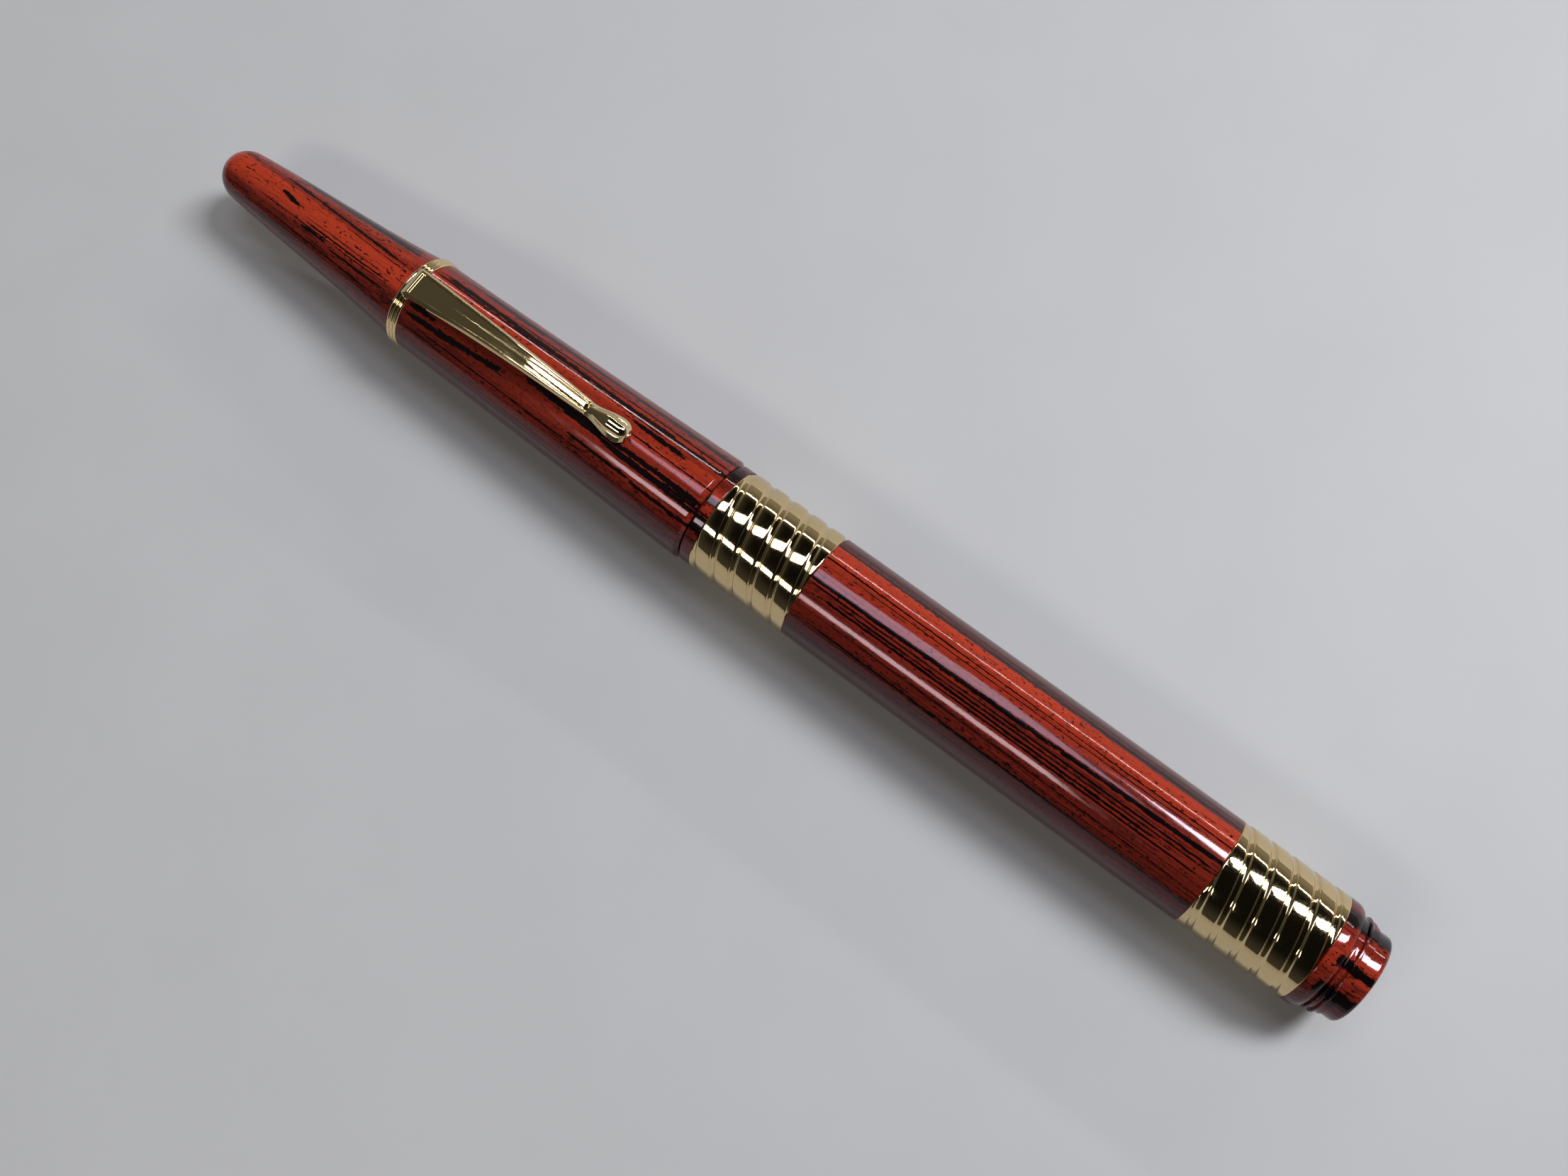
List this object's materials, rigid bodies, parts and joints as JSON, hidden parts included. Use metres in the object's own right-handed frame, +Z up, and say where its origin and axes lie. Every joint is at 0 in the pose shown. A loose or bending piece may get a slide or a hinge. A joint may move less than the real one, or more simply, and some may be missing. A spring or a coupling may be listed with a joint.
{
  "type": "rollerball pen",
  "caption": "Capped rollerball pen of streaked red and black hard rubber with a pale gold clip, ring and ribbed bands, and a screw thread and spigot at the tail.",
  "frame": {"origin": "under the middle of the capped pen's length, on the surface it lies on", "axes": "+X along the pen towards its tail, +Z up through the clip"},
  "size_m": [0.1544, 0.0128, 0.0144],
  "materials": {
    "hard_rubber_barrel": "polished, streaked red and black",
    "hard_rubber_collar": "polished, streaked red and black",
    "hard_rubber_tail": "polished, streaked red and black",
    "hard_rubber_grip": "polished, streaked red and black",
    "hard_rubber_crown": "polished, streaked red and black",
    "hard_rubber_cap": "polished, streaked red and black",
    "gold_front_band": "pale gold plate, mirror polish",
    "gold_rear_band": "pale gold plate, mirror polish",
    "gold_ring": "pale gold plate, mirror polish",
    "gold_clip": "pale gold plate, mirror polish",
    "gold_nose": "pale gold plate, mirror polish",
    "brass_sleeve": "machined",
    "spring_steel": "drawn wire",
    "liner_plastic": "satin",
    "refill_metal": "drawn tube",
    "refill_shoulder": "moulded",
    "point_steel": "turned",
    "plug_plastic": "moulded",
    "ink_fibre": "ink-soaked fibre",
    "wick_fibre": "ink-soaked fibre",
    "ball_carbide": "polished carbide"
  },
  "bodies": {
    "barrel": {"barrel_tube": "hard_rubber_barrel", "front_band": "gold_front_band", "front_collar": "hard_rubber_collar", "rear_band": "gold_rear_band", "tail_piece": "hard_rubber_tail", "refill_spring": "spring_steel"},
    "section": {"grip_section": "hard_rubber_grip", "nose_cone": "gold_nose", "section_sleeve": "brass_sleeve"},
    "cap": {"cap_finial": "hard_rubber_crown", "clip_ring": "gold_ring", "cap_tube": "hard_rubber_cap", "inner_cap": "liner_plastic"},
    "clip": {"pocket_clip": "gold_clip"},
    "refill": {"refill_tube": "refill_metal", "refill_nose": "refill_shoulder", "refill_point": "point_steel", "refill_plug": "plug_plastic", "ink_filler": "ink_fibre", "feed_wick": "wick_fibre"},
    "ball": {"writing_ball": "ball_carbide"}
  },
  "joints": [
    {"name": "section_out", "type": "slide", "parent": "barrel", "child": "section", "axis": [-1, 0, 0], "range_m": [0, 0.085]},
    {"name": "cap_off", "type": "slide", "parent": "section", "child": "cap", "axis": [-1, 0, 0], "range_m": [0, 0.05]},
    {"name": "clip_flex", "type": "hinge", "parent": "cap", "child": "clip", "pos_m": [-0.0468, 0, 0.01209], "axis": [0, -1, 0], "range_deg": [0, 4], "stiffness_Nm_per_rad": 0.6},
    {"name": "refill_press", "type": "slide", "parent": "section", "child": "refill", "axis": [1, 0, 0], "range_m": [0, 0.0015], "stiffness_N_per_m": 900, "springref_m": -0.0005, "deforming": ["refill_spring"]},
    {"name": "ball_roll", "type": "hinge", "parent": "refill", "child": "ball", "pos_m": [-0.04245, 0, 0.00636], "axis": [0, 1, 0], "continuous": true}
  ]
}
